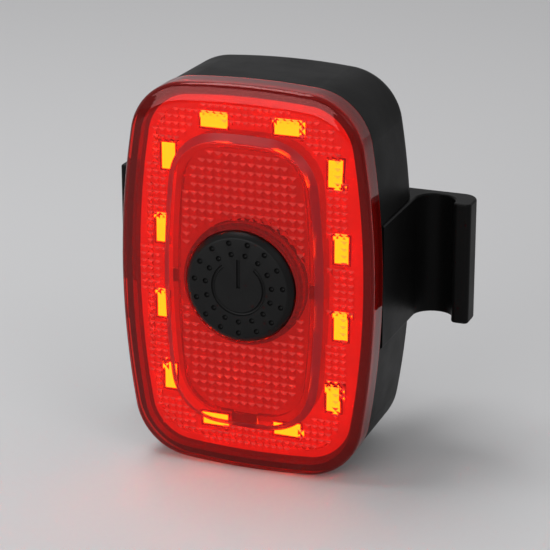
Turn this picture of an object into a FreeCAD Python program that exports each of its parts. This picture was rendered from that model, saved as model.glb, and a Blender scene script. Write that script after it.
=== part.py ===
import FreeCAD, Part

import math
import os

# Rechargeable rear light for a bicycle, held to a seat post by a stretch strap.
# Sizes are in millimetres. X runs to the viewer's right when the lit face is looked at,
# Y runs back through the light and Z runs up. While the pieces are made, Y starts at the
# seam between lens and housing, and X and Z start at the middle of the lit face. At the
# end every piece is moved so that the origin lies under the middle of the whole light.

# How far a cutting shape stands clear of what it cuts, and how near counts as the same place
cut_margin = 1.0
same_place = 1e-4

# Outline of the lit face: side, end and corner arcs that meet as tangents
half_width = 19.24
half_height = 28.91
side_radius = 127.0
end_radius = 109.0
corner_radius = 8.9

# Front lens
skirt_wall = 1.7
face_wall = 1.5
skirt_depth = 4.05
bevel_width = 3.3
bevel_rise = 0.6
rim_round = 0.85

# Raised window in the middle of the lens
window_half_width = 11.0
window_half_height = 20.9
window_side_radius = 130.0
window_end_radius = 62.0
window_corner = 6.6
window_rise = 1.05
window_slope = 1.1
window_wall = 1.0
window_edge_round = 0.3
notch_long = 3.9
notch_side_long = 2.0
notch_wide = 1.9
notch_side_wide = 0.9
notch_lap = 0.4
notch_depth = 0.5

# Button, its guide in the lens and its retaining ring
button_radius = 8.2
button_proud = 0.9
button_face_wall = 1.3
button_side_wall = 1.3
button_chamfer = 0.75
button_gap = 0.2
button_travel = 0.5
collar_wall = 0.7
collar_length = 1.0
flange_width = 0.8
flange_thick = 0.8
retainer_inset = 0.3
retainer_width = 2.2
travel_spare = 0.2
dimple_radius = 0.34
dimple_depth = 0.3
dimple_count = 15
dimple_ring_outer = 6.7
dimple_ring_inner = 5.05

# Plunger inside the button, a flat disc with a small boss
plunger_fit = 0.1
plunger_disc = 0.6
plunger_boss_radius = 2.4
plunger_boss_length = 0.2

# Push switch under the button
switch_side = 6.0
switch_cover_thick = 0.3
switch_stem_radius = 1.75
switch_stem_proud = 0.8
switch_stem_fit = 0.1
switch_floor = 0.9
switch_leg_width = 0.7
switch_leg_thick = 0.2
switch_leg_reach = 1.3
switch_leg_pitch = 4.5

# Gasket and rear housing
gasket_thick = 0.5
gasket_recess = 0.25
seam_step = 0.15
tongue_fit = 0.12
tongue_wall = 1.0
tongue_length = 1.5
housing_depth = 16.2
housing_draft = 0.28
housing_back_round = 3.0
back_wall = 2.2

# Posts that carry the main board, and the pins on them that locate it
post_radius = 1.9
post_from_wall = 1.38
post_direction = 53.0
pin_radius = 0.8
pin_fit = 0.1

# Main board, reflector plate with the lip that seats on the tongue, and light-emitting diodes
board_thick = 1.2
board_back = 0.9
board_gap = 0.15
reflector_thick = 0.8
reflector_lip_thick = 0.4
reflector_lip_wall = 0.5
reflector_window_gap = 0.15
reflector_hole_gap = 0.3
led_long = 4.4
led_short = 2.4
led_sink = 0.05
led_wall = 0.2
led_well = 0.3
led_side_inset = 5.65
led_side_z = 5.76
led_upper_inset = 6.67
led_upper_from_end = 12.06
led_end_inset = 6.23
led_end_x = 5.57

# Small parts on the back of the main board, each as width, depth and height
resistor_size = (1.6, 0.45, 0.8)
resistor_step = 3.1
capacitor_size = (2.0, 1.2, 1.25)
capacitor_pitch = 3.2
capacitor_count = 3
capacitor_z = 6.5
driver_size = (4.9, 1.5, 3.9)
driver_z = -2.5
driver_leg = (0.4, 0.2, 1.0)
driver_leg_pitch = 1.27
driver_legs_a_side = 4
socket_size = (4.6, 2.5, 3.0)
socket_drop = 3.5

# Battery, made to fill its space, with its protection board, foam pad and two leads
battery_round = 1.6
battery_side_gap = 0.45
battery_front_gap = 0.9
battery_post_gap = 1.0
battery_end_gap = 0.8
foam_thick = 2.2
foam_margin = 3.0
guard_size = (12.0, 0.8, 2.8)
lead_radius = 0.4
lead_x = 0.9
lead_bend = 1.5
lead_in_socket = 1.3

# Charging port, charging board and the connector that joins the two boards
port_from_back = 6.6
port_wide = 8.94
port_thick = 3.26
port_long = 7.35
port_wall = 0.25
port_gap = 0.1
port_tongue = (6.6, 0.7, 5.2)
charge_board_edge = 0.6
charge_board_thick = 1.0
charge_board_gap = 0.5
charge_board_margin = 0.53
charge_chip_size = (3.0, 1.0, 3.0)
charge_screw_gap = 0.58
charge_screw_up = 3.4
charge_screw_radius = 0.7
charge_screw_head = 1.15
charge_screw_head_height = 0.7
charge_screw_length = 3.6
charge_boss_radius = 1.8
header_pitch = 2.54
header_count = 4
header_port_gap = 0.27
header_body = 2.5
header_pin = 0.6

# Rubber cover of the charging port, swinging on its tether
cover_side_lap = 2.2
cover_front_lap = 1.34
cover_rear_lap = 0.84
cover_thick = 0.9
cover_corner = 1.6
cover_gap = 0.15
cover_floor_gap = 0.05
plug_gap = 0.3
plug_length = 1.1
port_mouth_gap = 0.33
hinge_from_cover = 0.7
tether_half_width = 4.0
tether_gap = 0.25
tether_root_length = 1.3
tether_peg_radius = 0.6
tether_peg_length = 1.4
tether_peg_fit = 0.05

# Strap bracket: a plate behind the housing, arms along its sides and a hook on each side
bracket_half_height = 9.17
bracket_plate = 2.9
cheek_proud = 0.33
arm_wall = 1.3
arm_step = 0.3
arm_gap = 0.05
arm_side_gap = 0.1
arm_corner_round = 2.4
groove_radius = 2.94
groove_floor = 1.55
lip_width = 2.63
lip_reach = 0.8
lip_tip_round = 0.7
hook_back_round = 2.4
bracket_edge_round = 0.3

# Screws through the bracket into bosses of the housing
screw_radius = 0.95
screw_fit = 0.05
screw_head_radius = 1.5
screw_head_height = 1.0
screw_head_gap = 0.1
screw_land = 0.45
screw_from_arm = 3.34
screw_from_end = 3.67
screw_bite = 5.0
screw_tip_gap = 0.6
screw_socket = (1.6, 0.4, 0.5)
boss_radius = 2.0
boss_cap = 1.0
boss_in_wall = 0.3

# Rubber saddle pad that seats on the seat post
post_bore_radius = 13.7
saddle_depth = 6.74
saddle_proud = 0.4
pad_pocket_depth = 1.9
pad_gap = 0.1
pad_margin = 0.8
pad_tip_round = 0.25
grip_groove_count = 5
grip_groove_pitch = 3.0
grip_groove_wide = 0.9
grip_groove_deep = 0.45

face_shape = (half_width, half_height, side_radius, end_radius, corner_radius)
window_shape = (window_half_width, window_half_height, window_side_radius,
                window_end_radius, window_corner)


def corner_centre(shape):
    """Centre of the corner arc that touches the end arc and the side arc from inside."""
    half_w, half_h, side_r, end_r, corner_r = shape
    end_x, end_z = 0.0, half_h - end_r
    side_x, side_z = half_w - side_r, 0.0
    to_end, to_side = end_r - corner_r, side_r - corner_r
    gap_x, gap_z = side_x - end_x, side_z - end_z
    gap = math.hypot(gap_x, gap_z)
    along = (to_end ** 2 - to_side ** 2 + gap ** 2) / (2 * gap)
    across = math.sqrt(to_end ** 2 - along ** 2)
    ux, uz = gap_x / gap, gap_z / gap
    return end_x + along * ux + across * uz, end_z + along * uz - across * ux


# Depths through the light, worked out from the sizes above
rim_y = -skirt_depth
ring_y = rim_y - bevel_rise
ring_back_y = ring_y + face_wall
window_y = ring_y - window_rise
window_back_y = window_y + face_wall
button_y = window_y - button_proud
button_floor_y = button_y + button_face_wall
board_front_y = board_back - board_thick
reflector_y = board_front_y - reflector_thick
led_y = reflector_y + led_sink
housing_y = gasket_thick
housing_back_y = housing_y + housing_depth
tongue_front_y = housing_y - gasket_thick - tongue_length
cavity_back_y = housing_back_y - back_wall

# Button, guide and switch
bore_radius = button_radius + button_gap
collar_outer = bore_radius + collar_wall
collar_back_y = window_back_y + collar_length
flange_radius = bore_radius + flange_width
flange_back_y = collar_back_y + flange_thick
plunger_back_y = button_floor_y + plunger_disc
stem_tip_y = plunger_back_y + plunger_boss_length
switch_top_y = stem_tip_y + switch_stem_proud
switch_body_y = switch_top_y + switch_cover_thick
switch_floor_y = board_front_y - switch_floor
switch_well_radius = switch_stem_radius + switch_stem_fit
switch_leg_end_x = switch_side / 2 + switch_leg_reach
switch_leg_end_z = (switch_leg_pitch + switch_leg_width) / 2
reflector_hole_radius = math.hypot(switch_leg_end_x, switch_leg_end_z) + reflector_hole_gap

# Inside of the housing and its posts
cavity_inset = skirt_wall + tongue_fit + tongue_wall
cavity_floor_z = -(half_height - cavity_inset)
corner_x, corner_z = corner_centre(face_shape)
post_reach = corner_radius - cavity_inset - post_from_wall
post_x = corner_x + post_reach * math.cos(math.radians(post_direction))
post_z = corner_z + post_reach * math.sin(math.radians(post_direction))

# Bracket, its hooks, its screws and the saddle pad
bracket_back_y = housing_back_y + bracket_plate
arm_side_x = half_width - side_radius + math.sqrt((side_radius - seam_step) ** 2 - bracket_half_height ** 2)
arm_outer_x = arm_side_x + cheek_proud
arm_inner_x = arm_outer_x - arm_wall
arm_front_y = housing_y + arm_step
groove_x = arm_outer_x + groove_radius
groove_y = bracket_back_y - groove_floor - groove_radius
lip_inner_x = groove_x + groove_radius
lip_outer_x = lip_inner_x + lip_width
lip_front_y = groove_y - lip_reach
screw_x = arm_inner_x - screw_from_arm
screw_z = bracket_half_height - screw_from_end
screw_tip_y = housing_back_y - screw_bite
screw_seat_y = bracket_back_y - screw_head_height - screw_head_gap
pad_half_width = screw_x - screw_head_radius - screw_land - pad_gap
pad_half_height = bracket_half_height - pad_margin
pad_floor_y = bracket_back_y - pad_pocket_depth
saddle_y = bracket_back_y + saddle_proud
saddle_tip_y = saddle_y + saddle_depth

# Charging port, charging board and connector
port_y = cavity_back_y - port_from_back
port_mouth_z = cavity_floor_z + port_gap
port_end_z = port_mouth_z + port_long
charge_board_y = port_y + port_thick / 2
charge_board_back_y = charge_board_y + charge_board_thick
charge_screw_x = port_wide / 2 + charge_screw_gap + charge_screw_head
charge_board_half_width = charge_screw_x + charge_screw_radius + charge_board_edge
charge_screw_z = port_mouth_z + charge_screw_up
header_z = port_end_z + header_port_gap + header_pitch / 2
charge_board_top = header_z + header_pitch / 2 + charge_board_margin

# Battery between the charging board, the posts, the bosses and the socket
battery_back_y = cavity_back_y - foam_thick
battery_front_y = board_back + socket_size[1] + battery_front_gap
battery_half_width = screw_x - boss_radius - battery_side_gap
battery_low_z = charge_board_top + battery_end_gap
battery_top_z = post_z - post_radius - battery_post_gap
battery_mid_y = (battery_front_y + battery_back_y) / 2
guard_mid_z = battery_top_z + guard_size[2] / 2
socket_z = battery_top_z - socket_drop

# Port cover, flush with the drafted underside of the housing
under_z = -half_height - cut_margin
draft_at_port = housing_draft * (port_y - housing_y) / housing_depth
cover_floor_z = -(half_height - seam_step - draft_at_port) + cover_thick
cover_top_z = cover_floor_z - cover_floor_gap
mouth_wide = port_wide + 2 * port_mouth_gap
mouth_thick = port_thick + 2 * port_mouth_gap
cover_half_width = mouth_wide / 2 + cover_side_lap
cover_front_y = port_y - mouth_thick / 2 - cover_front_lap
cover_rear_y = port_y + mouth_thick / 2 + cover_rear_lap
hinge_y = cover_rear_y + hinge_from_cover
hinge_z = cover_top_z - cover_thick / 2
root_front_y = hinge_y + cover_thick / 2 + tether_gap
root_back_y = root_front_y + tether_root_length
peg_y = (root_front_y + root_back_y) / 2


def vec(x, y, z):
    return FreeCAD.Vector(x, y, z)


def outline(shape, inset, y):
    """Closed wire of eight tangent arcs, drawn in by inset, in the plane at y."""
    half_w, half_h, side_r, end_r, corner_r = shape
    cx, cz = corner_centre(shape)
    end_z, side_x = half_h - end_r, half_w - side_r
    to_end, to_side = end_r - corner_r, side_r - corner_r
    end_dir = (cx / to_end, (cz - end_z) / to_end)
    side_dir = ((cx - side_x) / to_side, cz / to_side)
    mid_x, mid_z = end_dir[0] + side_dir[0], end_dir[1] + side_dir[1]
    mid_len = math.hypot(mid_x, mid_z)
    r = corner_r - inset
    on_end = (cx + end_dir[0] * r, cz + end_dir[1] * r)
    on_mid = (cx + mid_x / mid_len * r, cz + mid_z / mid_len * r)
    on_side = (cx + side_dir[0] * r, cz + side_dir[1] * r)
    top, right = half_h - inset, half_w - inset

    def arc(a, b, c):
        ends = [vec(p[0], y, p[1]) for p in (a, b, c)]
        return Part.Arc(*ends).toShape()

    def flip(p, sx, sz):
        return p[0] * sx, p[1] * sz

    edges = [arc(flip(on_end, -1, 1), (0, top), on_end)]
    edges.append(arc(on_end, on_mid, on_side))
    edges.append(arc(on_side, (right, 0), flip(on_side, 1, -1)))
    edges.append(arc(flip(on_side, 1, -1), flip(on_mid, 1, -1), flip(on_end, 1, -1)))
    edges.append(arc(flip(on_end, 1, -1), (0, -top), flip(on_end, -1, -1)))
    edges.append(arc(flip(on_end, -1, -1), flip(on_mid, -1, -1), flip(on_side, -1, -1)))
    edges.append(arc(flip(on_side, -1, -1), (-right, 0), flip(on_side, -1, 1)))
    edges.append(arc(flip(on_side, -1, 1), flip(on_mid, -1, 1), flip(on_end, -1, 1)))
    return Part.Wire(edges)


def prism(shape, inset, y0, y1):
    """Solid with the outline's section from y0 to y1."""
    return Part.Face(outline(shape, inset, y0)).extrude(vec(0, y1 - y0, 0))


def taper(shape, inset0, y0, inset1, y1):
    """Solid that tapers from one inset of the outline to another."""
    wires = [outline(shape, inset0, y0), outline(shape, inset1, y1)]
    return Part.makeLoft(wires, True, True)


def block(x0, x1, y0, y1, z0, z1):
    return Part.makeBox(x1 - x0, y1 - y0, z1 - z0, vec(x0, y0, z0))


def centred_block(size, x, y, z):
    """Block of the given size, centred on x and z, that starts at y."""
    return block(x - size[0] / 2, x + size[0] / 2, y, y + size[1], z - size[2] / 2, z + size[2] / 2)


def rod(radius, y0, y1, x=0.0, z=0.0):
    """Cylinder along Y."""
    return Part.makeCylinder(radius, y1 - y0, vec(x, y0, z), vec(0, 1, 0))


def joined(shapes):
    return shapes[0].multiFuse(shapes[1:]).removeSplitter()


def mirrored(shape):
    """The shape and its mirror image across the middle plane of the light."""
    return [shape, shape.mirror(vec(0, 0, 0), vec(1, 0, 0))]


def four_places(x, z):
    return [(sx * x, sz * z) for sx in (-1, 1) for sz in (-1, 1)]


def spread(count, pitch):
    """Evenly spaced places on both sides of zero."""
    return [(n - (count - 1) / 2) * pitch for n in range(count)]


def charge_screw_places():
    return [(-charge_screw_x, charge_screw_z), (charge_screw_x, charge_screw_z)]


def edges_at_y(shape, y):
    """Edges that lie wholly in the plane at y."""
    boxes = [(e, e.BoundBox) for e in shape.Edges]
    return [e for e, b in boxes if abs(b.YMin - y) < same_place and abs(b.YMax - y) < same_place]


def traced_face(start, steps):
    """Face in the plane z = 0: each step is an end point, or a middle and an end point."""
    edges, at = [], start
    for step in steps + [start]:
        if isinstance(step[0], tuple):
            mid, end = step
            points = [vec(p[0], p[1], 0) for p in (at, mid, end)]
            edges.append(Part.Arc(*points).toShape())
        else:
            end = step
            edges.append(Part.LineSegment(vec(at[0], at[1], 0), vec(end[0], end[1], 0)).toShape())
        at = end
    return Part.Face(Part.Wire(edges))


def round_mid(centre_x, centre_y, radius, degrees):
    """Point on a circle, used as the middle of a quarter arc."""
    a = math.radians(degrees)
    return centre_x + radius * math.cos(a), centre_y + radius * math.sin(a)


def led_places():
    """Centre and direction of each diode: True where its long side is level."""
    side_x = half_width - led_side_inset
    upper_x, upper_z = half_width - led_upper_inset, half_height - led_upper_from_end
    end_z = half_height - led_end_inset
    places = [(x, z, True) for x, z in four_places(led_end_x, end_z)]
    places += [(x, z, False) for x, z in four_places(upper_x, upper_z)]
    places += [(x, z, False) for x, z in four_places(side_x, led_side_z)]
    return places


def led_block(place, grow, y0, y1):
    """Block over one diode, larger than its body by grow on each side."""
    x, z, level = place
    half_x = (led_long if level else led_short) / 2 + grow
    half_z = (led_short if level else led_long) / 2 + grow
    return block(x - half_x, x + half_x, y0, y1, z - half_z, z + half_z)


def make_front_lens():
    outer = prism(face_shape, 0, rim_y, 0)
    outer = outer.fuse(taper(face_shape, 0, rim_y, bevel_width, ring_y)).removeSplitter()
    outer = outer.makeFillet(rim_round, edges_at_y(outer, rim_y))
    boss = taper(window_shape, -window_slope, ring_y, 0, window_y)
    lens = outer.fuse(boss).removeSplitter()
    lens = lens.makeFillet(window_edge_round, edges_at_y(lens, window_y))
    hollow = prism(face_shape, skirt_wall, ring_back_y, 0)
    pocket = prism(window_shape, window_wall, window_back_y, ring_back_y)
    lens = lens.cut(hollow.fuse(pocket))
    lens = lens.fuse(rod(collar_outer, window_back_y, collar_back_y))
    lens = lens.cut(rod(bore_radius, window_y - cut_margin, collar_back_y))
    notch_y = ring_back_y - notch_depth
    below = window_half_height - window_wall
    beside = window_half_width - window_wall
    notches = [block(-notch_long / 2, notch_long / 2, notch_y, ring_back_y,
                     -below - notch_wide, -below + notch_lap)]
    notches += mirrored(block(beside - notch_lap, beside + notch_side_wide, notch_y, ring_back_y,
                              -notch_side_long / 2, notch_side_long / 2))
    return lens.cut(notches).removeSplitter()


def make_gasket():
    outer = prism(face_shape, gasket_recess, 0, gasket_thick)
    inner = skirt_wall + tongue_fit / 2
    return outer.cut(prism(face_shape, inner, 0, gasket_thick))


def make_button_cap():
    body = rod(button_radius, button_y, collar_back_y)
    front = edges_at_y(body, button_y)
    body = body.makeChamfer(button_chamfer, front)
    flange = rod(flange_radius, collar_back_y, flange_back_y)
    cap = body.fuse(flange)
    hollow = rod(button_radius - button_side_wall, button_floor_y, flange_back_y)
    cap = cap.cut(hollow).removeSplitter()
    dimples = []
    for ring in (dimple_ring_outer, dimple_ring_inner):
        for n in range(dimple_count):
            a = 2 * math.pi * n / dimple_count
            at = vec(ring * math.sin(a), button_y, ring * math.cos(a))
            dimples.append(Part.makeCone(dimple_radius, dimple_radius / 2, dimple_depth,
                                         at, vec(0, 1, 0)))
    return cap.cut(dimples)


def make_button_plunger():
    disc_radius = button_radius - button_side_wall - plunger_fit
    disc = rod(disc_radius, button_floor_y, plunger_back_y)
    return disc.fuse(rod(plunger_boss_radius, plunger_back_y, stem_tip_y)).removeSplitter()


def make_button_retainer():
    front_y = flange_back_y + button_travel + travel_spare
    outer = flange_radius - retainer_inset
    ring = rod(outer, front_y, reflector_y)
    return ring.cut(rod(outer - retainer_width, front_y, reflector_y))


def switch_block(y0, y1):
    half = switch_side / 2
    return block(-half, half, y0, y1, -half, half)


def make_switch_body():
    return switch_block(switch_body_y, board_front_y).cut(
        rod(switch_well_radius, switch_body_y, switch_floor_y))


def make_switch_cover():
    return switch_block(switch_top_y, switch_body_y).cut(
        rod(switch_well_radius, switch_top_y, switch_body_y))


def make_switch_stem():
    return rod(switch_stem_radius, stem_tip_y, switch_floor_y - button_travel - travel_spare)


def make_switch_legs():
    size = (switch_leg_reach, switch_leg_thick, switch_leg_width)
    x = (switch_side + switch_leg_reach) / 2
    return Part.makeCompound([centred_block(size, leg_x, board_front_y - switch_leg_thick, leg_z)
                              for leg_x, leg_z in four_places(x, switch_leg_pitch / 2)])


def make_main_board():
    inset = cavity_inset + board_gap
    board = prism(face_shape, inset, board_front_y, board_back)
    holes = [rod(pin_radius + pin_fit, board_front_y, board_back, x, z) for x, z in post_places()]
    return board.cut(holes)


def post_places():
    return four_places(post_x, post_z)


def make_reflector_plate():
    """Plate round the diodes, whose raised rim ends in a lip on the housing's tongue."""
    inset = cavity_inset + board_gap
    lip_y = tongue_front_y - reflector_lip_thick
    lip = prism(face_shape, skirt_wall + tongue_fit, lip_y, tongue_front_y)
    rim = lip.fuse(prism(face_shape, inset, lip_y, reflector_y))
    rim = rim.cut(prism(face_shape, inset + reflector_lip_wall, lip_y, reflector_y))
    plate = rim.fuse(prism(face_shape, inset, reflector_y, board_front_y)).removeSplitter()
    cuts = [led_block(p, reflector_window_gap, reflector_y, board_front_y) for p in led_places()]
    cuts.append(rod(reflector_hole_radius, reflector_y, board_front_y))
    return plate.cut(cuts)


def make_led_packages():
    bodies = []
    for p in led_places():
        body = led_block(p, 0, led_y, board_front_y)
        bodies.append(body.cut(led_block(p, -led_wall, led_y, led_y + led_well)))
    return Part.makeCompound(bodies)


def make_led_phosphor():
    return Part.makeCompound([led_block(p, -led_wall, led_y, led_y + led_well)
                              for p in led_places()])


def make_chip_resistors():
    chips = []
    for x, z, level in led_places():
        if level:
            z -= math.copysign(resistor_step, z)
        else:
            x -= math.copysign(resistor_step, x)
        chips.append(centred_block(resistor_size, x, board_back, z))
    return Part.makeCompound(chips)


def make_chip_capacitors():
    return Part.makeCompound([centred_block(capacitor_size, x, board_back, capacitor_z)
                              for x in spread(capacitor_count, capacitor_pitch)])


def make_driver_chip():
    return centred_block(driver_size, 0, board_back, driver_z)


def make_driver_legs():
    legs = []
    for x in spread(driver_legs_a_side, driver_leg_pitch):
        for side in (-1, 1):
            z = driver_z + side * (driver_size[2] + driver_leg[2]) / 2
            legs.append(centred_block(driver_leg, x, board_back, z))
    return Part.makeCompound(legs)


def make_battery_socket():
    return centred_block(socket_size, 0, board_back, socket_z)


def make_battery_cell():
    w = battery_half_width
    cell = block(-w, w, battery_front_y, battery_back_y, battery_low_z, battery_top_z)
    return cell.makeFillet(battery_round, cell.Edges)


def make_battery_guard():
    return centred_block(guard_size, 0, battery_mid_y, guard_mid_z)


def make_battery_foam():
    w = battery_half_width - foam_margin
    return block(-w, w, battery_back_y, cavity_back_y, battery_low_z + foam_margin,
                 battery_top_z - foam_margin)


def make_battery_lead(x):
    """Lead from the guard board forward and down into the socket, with one bend."""
    top, bend = guard_mid_z, lead_bend
    turn = bend * (1 - math.sqrt(0.5))
    y_end = board_back + lead_in_socket
    z_end = socket_z + socket_size[2] / 2
    start = vec(x, battery_mid_y, top)
    bend_start, bend_end = vec(x, y_end + bend, top), vec(x, y_end, top - bend)
    path = Part.Wire([
        Part.LineSegment(start, bend_start).toShape(),
        Part.Arc(bend_start, vec(x, y_end + turn, top - turn), bend_end).toShape(),
        Part.LineSegment(bend_end, vec(x, y_end, z_end)).toShape(),
    ])
    section = Part.Wire([Part.Circle(start, vec(0, 1, 0), lead_radius).toShape()])
    return path.makePipeShell([section], True, False)


def slot_wire(width, height, x, y, z):
    """Closed wire of a slot with round ends, width along X and height along Y."""
    r = height / 2
    run = width / 2 - r
    left, right, low, high = x - run, x + run, y - r, y + r
    return Part.Wire([
        Part.LineSegment(vec(left, low, z), vec(right, low, z)).toShape(),
        Part.Arc(vec(right, low, z), vec(right + r, y, z), vec(right, high, z)).toShape(),
        Part.LineSegment(vec(right, high, z), vec(left, high, z)).toShape(),
        Part.Arc(vec(left, high, z), vec(left - r, y, z), vec(left, low, z)).toShape(),
    ])


def slot_solid(width, height, x, y, z0, z1):
    return Part.Face(slot_wire(width, height, x, y, z0)).extrude(vec(0, 0, z1 - z0))


def rounded_slab(half_x, y0, y1, z0, z1, corner, grow):
    """Slab with rounded upright corners, larger than its plan by grow on each side."""
    slab = block(-half_x - grow, half_x + grow, y0 - grow, y1 + grow, z0, z1)
    upright = [e for e in slab.Edges if e.BoundBox.ZLength > (z1 - z0) / 2]
    return slab.makeFillet(corner + grow, upright)


def make_usb_shell():
    outer = slot_solid(port_wide, port_thick, 0, port_y, port_mouth_z, port_end_z)
    inside = slot_solid(port_wide - 2 * port_wall, port_thick - 2 * port_wall, 0, port_y,
                        port_mouth_z, port_end_z - port_wall)
    return outer.cut(inside)


def make_usb_tongue():
    w, thick, reach = port_tongue
    root_z = port_end_z - port_wall
    return block(-w / 2, w / 2, port_y - thick / 2, port_y + thick / 2, root_z - reach, root_z)


def make_charge_board():
    half = charge_board_half_width
    board = block(-half, half, charge_board_y, charge_board_back_y,
                  cavity_floor_z + charge_board_gap, charge_board_top)
    return board.cut([rod(charge_screw_radius, charge_board_y, charge_board_back_y, x, z)
                      for x, z in charge_screw_places()])


def make_charge_chip():
    z = (cavity_floor_z + charge_board_top) / 2
    return centred_block(charge_chip_size, 0, charge_board_back_y, z)


def make_charge_screws():
    screws = []
    seat = charge_board_y
    for x, z in charge_screw_places():
        head = rod(charge_screw_head, seat - charge_screw_head_height, seat, x, z)
        shank = rod(charge_screw_radius - screw_fit, seat, seat + charge_screw_length, x, z)
        screws.append(head.fuse(shank).removeSplitter())
    return Part.makeCompound(screws)


def header_pin_block(x, y0, y1):
    half = header_pin / 2
    return block(x - half, x + half, y0, y1, header_z - half, header_z + half)


def make_header_bodies():
    half_x = header_count * header_pitch / 2
    half_z = header_pitch / 2
    spans = [(board_back, board_back + header_body), (charge_board_y - header_body, charge_board_y)]
    bodies = []
    for y0, y1 in spans:
        body = block(-half_x, half_x, y0, y1, header_z - half_z, header_z + half_z)
        bodies.append(body.cut([header_pin_block(x, y0, y1)
                                for x in spread(header_count, header_pitch)]))
    return Part.makeCompound(bodies)


def make_header_pins():
    return Part.makeCompound([header_pin_block(x, board_back, charge_board_y)
                              for x in spread(header_count, header_pitch)])


def housing_envelope():
    """Outside of the housing before its hollows, with the moulding draft and round back."""
    body = taper(face_shape, seam_step, housing_y, seam_step + housing_draft, housing_back_y)
    return body.makeFillet(housing_back_round, edges_at_y(body, housing_back_y))


def arm_channel():
    """Space that the bracket's arms and plate need around the back of the housing."""
    reach_z = bracket_half_height + arm_side_gap
    span = half_width + cut_margin
    slab = block(-span, span, arm_front_y - arm_side_gap, bracket_back_y, -reach_z, reach_z)
    half = arm_inner_x - arm_gap
    kept = block(-half, half, housing_y - cut_margin, housing_back_y, -half_height, half_height)
    upright = [e for e in kept.Edges if e.BoundBox.YMin > housing_back_y - same_place
               and e.BoundBox.ZLength > half_height]
    return slab.cut(kept.makeFillet(arm_corner_round, upright))


def housing_posts():
    """Posts for the main board with their pins, and bosses for both kinds of screw."""
    posts = []
    for x, z in post_places():
        posts.append(rod(post_radius, board_back, cavity_back_y, x, z))
        posts.append(rod(pin_radius, board_front_y, board_back, x, z))
    for x, z in charge_screw_places():
        posts.append(rod(charge_boss_radius, charge_board_back_y, cavity_back_y, x, z))
    boss_y = screw_tip_y - screw_tip_gap - boss_cap
    within = prism(face_shape, cavity_inset - boss_in_wall, boss_y, cavity_back_y)
    for x, z in four_places(screw_x, screw_z):
        posts.append(rod(boss_radius, boss_y, cavity_back_y, x, z).common(within))
    return posts


def housing_screw_holes():
    holes = [rod(screw_radius + screw_fit, screw_tip_y - screw_tip_gap, housing_back_y, x, z)
             for x, z in four_places(screw_x, screw_z)]
    deep = charge_board_y + charge_screw_length + screw_tip_gap
    return holes + [rod(charge_screw_radius, charge_board_back_y, deep, x, z)
                    for x, z in charge_screw_places()]


def cover_recess():
    """Hollow under the port cover, the port's mouth and the hole for the tether's peg."""
    lid = rounded_slab(cover_half_width, cover_front_y, cover_rear_y, under_z, cover_floor_z,
                       cover_corner, cover_gap)
    strap = block(-tether_half_width - cover_gap, tether_half_width + cover_gap,
                  port_y, root_back_y + cover_gap, under_z, cover_floor_z)
    mouth = slot_solid(mouth_wide, mouth_thick, 0, port_y, under_z, port_mouth_z)
    peg = Part.makeCylinder(tether_peg_radius + tether_peg_fit, tether_peg_length + cover_gap,
                            vec(0, peg_y, cover_floor_z))
    return [lid, strap, mouth, peg]


def make_rear_housing():
    tongue = prism(face_shape, skirt_wall + tongue_fit, tongue_front_y, housing_y)
    shell = housing_envelope().fuse(tongue).cut(arm_channel())
    shell = shell.cut(prism(face_shape, cavity_inset, tongue_front_y, cavity_back_y))
    shell = shell.multiFuse(housing_posts()).removeSplitter()
    return shell.cut(housing_screw_holes() + cover_recess())


def make_port_cover():
    lid = rounded_slab(cover_half_width, cover_front_y, cover_rear_y, under_z, cover_top_z,
                       cover_corner, 0)
    strap = block(-tether_half_width, tether_half_width, port_y, hinge_y, under_z, cover_top_z)
    barrel = Part.makeCylinder(cover_thick / 2, 2 * tether_half_width,
                               vec(-tether_half_width, hinge_y, hinge_z), vec(1, 0, 0))
    plug = slot_solid(mouth_wide - 2 * plug_gap, mouth_thick - 2 * plug_gap, 0, port_y,
                      cover_top_z, cover_top_z + plug_length)
    flush = joined([lid, strap, barrel]).common(housing_envelope())
    return flush.fuse(plug).removeSplitter()


def make_port_cover_root():
    root = block(-tether_half_width, tether_half_width, root_front_y, root_back_y, under_z,
                 cover_top_z).common(housing_envelope())
    peg = Part.makeCylinder(tether_peg_radius, tether_peg_length, vec(0, peg_y, cover_top_z))
    return root.fuse(peg).removeSplitter()


def bracket_outer_edges(bracket):
    """Edges of the bracket's upper and lower outlines, without those on the housing."""
    chosen = []
    for e in bracket.Edges:
        b = e.BoundBox
        level = b.ZLength < same_place and abs(abs(b.ZMin) - bracket_half_height) < same_place
        reach = max(abs(b.XMin), abs(b.XMax))
        on_housing = reach < arm_inner_x + same_place and b.YMax < housing_back_y + same_place
        if level and not on_housing:
            chosen.append(e)
    return chosen


def bracket_half_section():
    """Right half of the bracket's plan: plate, arm, groove for the strap and rounded lip."""
    inner, outer, front, back = arm_inner_x, arm_outer_x, arm_front_y, bracket_back_y
    bend, tip, heel = arm_corner_round, lip_tip_round, hook_back_round
    return traced_face((0.0, housing_back_y), [
        (inner - bend, housing_back_y),
        (round_mid(inner - bend, housing_back_y - bend, bend, 45), (inner, housing_back_y - bend)),
        (inner, front),
        (outer, front),
        (outer, groove_y),
        ((groove_x, groove_y + groove_radius), (lip_inner_x, groove_y)),
        (lip_inner_x, lip_front_y + tip),
        (round_mid(lip_inner_x + tip, lip_front_y + tip, tip, 225), (lip_inner_x + tip, lip_front_y)),
        (lip_outer_x - tip, lip_front_y),
        (round_mid(lip_outer_x - tip, lip_front_y + tip, tip, 315), (lip_outer_x, lip_front_y + tip)),
        (lip_outer_x, back - heel),
        (round_mid(lip_outer_x - heel, back - heel, heel, 45), (lip_outer_x - heel, back)),
        (0.0, back),
    ])


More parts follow.
